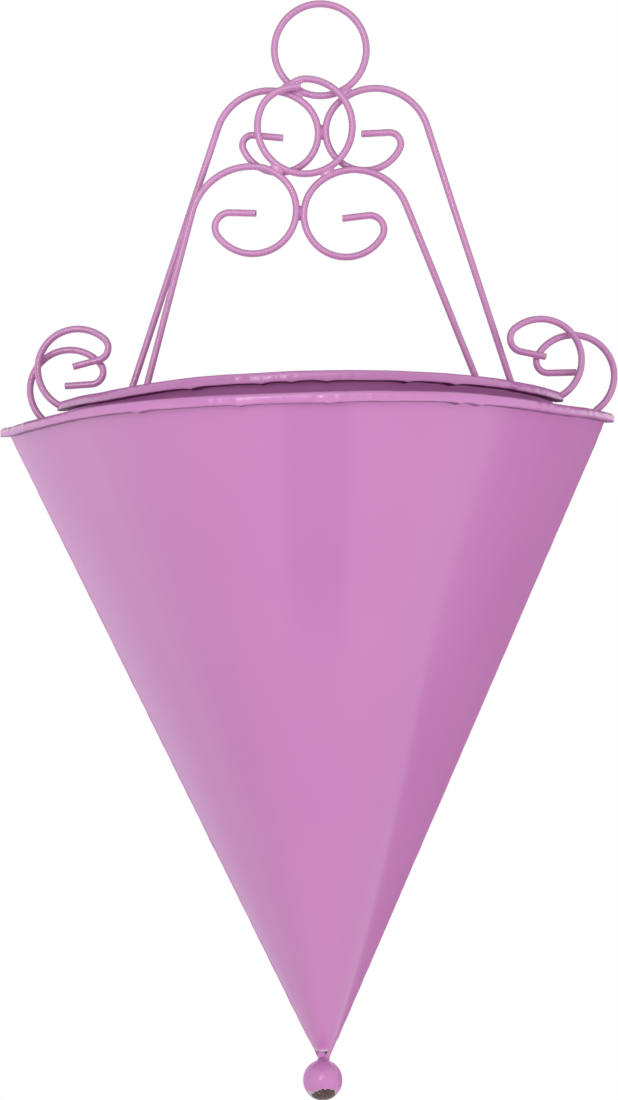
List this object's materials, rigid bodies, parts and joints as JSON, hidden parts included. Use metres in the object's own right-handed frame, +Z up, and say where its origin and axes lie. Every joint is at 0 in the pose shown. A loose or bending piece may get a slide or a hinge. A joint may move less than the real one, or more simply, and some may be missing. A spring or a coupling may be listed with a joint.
{
  "type": "wall planter",
  "caption": "Wall planter: nested half-cone metal pockets with scrolled wire hangers, hanging rings and ball finials; the inner pocket lifts out for planting.",
  "frame": {"origin": "on the wall plane, at the height of the inner crown of the large planter's ring, where the nail passes", "axes": "+Z up; -Y out of the wall, towards the viewer; +X to the viewer's right"},
  "size_m": [0.3089, 0.1543, 0.5472],
  "materials": {
    "sheet_enamel": "glossy orchid enamel on sheet metal",
    "wire_enamel": "glossy orchid enamel on wire",
    "rim_wire_steel": "bare steel wire inside the rolled rim"
  },
  "bodies": {
    "large_planter": {"large_front_shell": "sheet_enamel", "large_back_plate": "sheet_enamel", "large_rim_wire": "rim_wire_steel", "large_finial_stem": "wire_enamel", "large_finial_ball": "sheet_enamel", "large_hanger_left": "wire_enamel", "large_hanger_right": "wire_enamel", "large_curl_left": "wire_enamel", "large_curl_right": "wire_enamel", "large_ring": "wire_enamel"},
    "small_planter": {"small_front_shell": "sheet_enamel", "small_back_plate": "sheet_enamel", "small_rim_wire": "rim_wire_steel", "small_finial_stem": "wire_enamel", "small_finial_ball": "sheet_enamel", "small_hanger_left": "wire_enamel", "small_hanger_right": "wire_enamel", "small_curl_left": "wire_enamel", "small_curl_right": "wire_enamel", "small_ring": "wire_enamel"}
  },
  "joints": [
    {"name": "small_planter_lift", "type": "slide", "parent": "large_planter", "child": "small_planter", "axis": [0, 0, 1], "range_m": [0, 0.3]}
  ]
}
